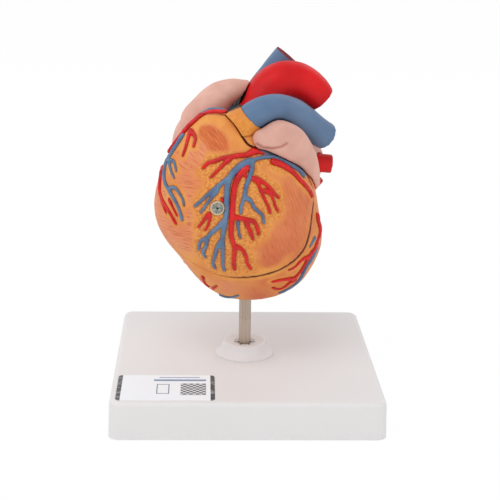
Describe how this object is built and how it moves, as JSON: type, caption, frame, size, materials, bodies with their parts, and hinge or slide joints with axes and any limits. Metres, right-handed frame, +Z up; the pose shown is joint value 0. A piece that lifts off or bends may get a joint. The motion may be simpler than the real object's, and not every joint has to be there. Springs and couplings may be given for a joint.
{
  "type": "human heart anatomy model",
  "caption": "Classroom heart model on a square stand: the front wall pulls off to show the chambers, and the heart turns on and lifts off its steel rod.",
  "frame": {"origin": "middle of the base's underside, on the rod's axis", "axes": "+Z up along the rod, -Y towards the viewer of the heart's front, +X to that viewer's right"},
  "size_m": [0.128, 0.131, 0.1677],
  "materials": {
    "base_plastic": "moulded warm white plastic, fine satin grain",
    "sleeve_black": "dark moulded spring sleeve",
    "label_paper": "coated label, bare apart from plain rules",
    "rod_steel": "drawn steel rod, fluted at the top",
    "muscle": "hand painted cast, orange muscle and yellow fat",
    "muscle_dark": "hand painted cast, dark red-orange",
    "artery_red": "hand painted red, satin varnish",
    "vein_blue": "hand painted blue, satin varnish",
    "auricle_pink": "smooth pink cast",
    "peg_grey": "mottled grey plastic with a cream rim",
    "bush_brass": "turned bush",
    "valve_cream": "cream painted cast"
  },
  "bodies": {
    "stand": {"base_plate": "base_plastic", "rod_collar": "base_plastic", "spring_sleeve": "sleeve_black", "base_label": "label_paper"},
    "rod": {"support_rod": "rod_steel"},
    "heart": {"rear_heart": "muscle", "peg_bush": "peg_grey", "rod_bush": "bush_brass", "rear_coronary_arteries": "artery_red", "rear_cardiac_veins": "vein_blue", "outflow_stump": "muscle", "aorta": "artery_red", "right_pulmonary_artery": "vein_blue", "pulmonary_trunk": "vein_blue", "right_atrium": "auricle_pink", "left_atrium": "auricle_pink", "superior_vena_cava": "vein_blue", "inferior_vena_cava": "vein_blue", "left_pulmonary_veins": "artery_red", "right_pulmonary_veins": "artery_red", "right_auricle": "auricle_pink", "left_auricle": "auricle_pink", "tricuspid_valve": "valve_cream", "mitral_valve": "valve_cream", "aortic_valve": "valve_cream", "pulmonary_valve": "valve_cream", "papillary_muscles": "muscle_dark", "tendinous_cords": "valve_cream"},
    "front_wall": {"front_wall": "muscle", "locating_peg": "peg_grey", "front_coronary_arteries": "artery_red", "front_cardiac_veins": "vein_blue"}
  },
  "joints": [
    {"name": "rod_turn", "type": "hinge", "parent": "stand", "child": "rod", "pos_m": [0, 0, 0.0248], "axis": [0, 0, 1], "continuous": true},
    {"name": "heart_lift", "type": "slide", "parent": "rod", "child": "heart", "axis": [0, 0, 1], "range_m": [0, 0.03]},
    {"name": "front_wall_pull", "type": "slide", "parent": "heart", "child": "front_wall", "axis": [0, -1, 0], "range_m": [0, 0.06]}
  ]
}
